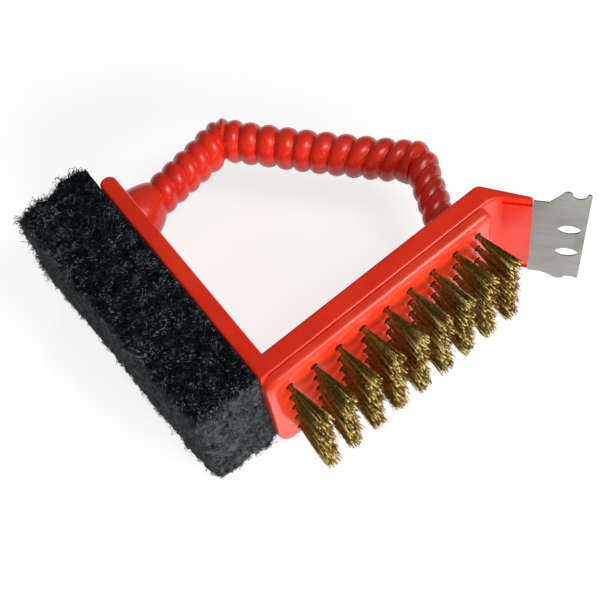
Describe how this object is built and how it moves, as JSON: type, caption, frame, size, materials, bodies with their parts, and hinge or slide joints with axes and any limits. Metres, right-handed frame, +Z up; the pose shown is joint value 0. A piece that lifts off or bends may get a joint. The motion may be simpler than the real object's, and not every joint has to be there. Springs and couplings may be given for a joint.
{
  "type": "grill cleaning brush",
  "caption": "V-shaped grill cleaning brush with a scouring pad, a brass wire brush, a steel scraper and a rope-pattern grip across the arms.",
  "frame": {"origin": "middle of the footprint, on the surface that the brush lies on", "axes": "+X across the V from the pad to the scraper, +Y from the V's corner to the grip, +Z up from the lower side face to the upper side face"},
  "size_m": [0.2466, 0.17, 0.0675],
  "materials": {
    "red_plastic": "glossy moulded",
    "grip_plastic": "glossy moulded",
    "block_plastic": "glossy moulded",
    "pin_plastic": "moulded",
    "screw_steel": "zinc plated",
    "anchor_steel": "drawn",
    "brass_wire": "drawn wire",
    "blade_steel": "satin",
    "adhesive": "matte",
    "scouring_fibre": "coarse nonwoven fibre"
  },
  "bodies": {
    "root": {"frame": "red_plastic", "handle": "grip_plastic", "handle_screws": "screw_steel", "brush_block": "block_plastic", "tuft_anchors": "anchor_steel", "bristle_row_1": "brass_wire", "bristle_row_2": "brass_wire", "bristle_row_3": "brass_wire", "bristle_row_4": "brass_wire", "bristle_row_5": "brass_wire", "bristle_row_6": "brass_wire", "bristle_row_7": "brass_wire", "bristle_row_8": "brass_wire", "bristle_row_9": "brass_wire", "scraper_blade": "blade_steel", "blade_pins": "pin_plastic", "pad_adhesive": "adhesive", "scour_pad": "scouring_fibre"}
  },
  "joints": []
}
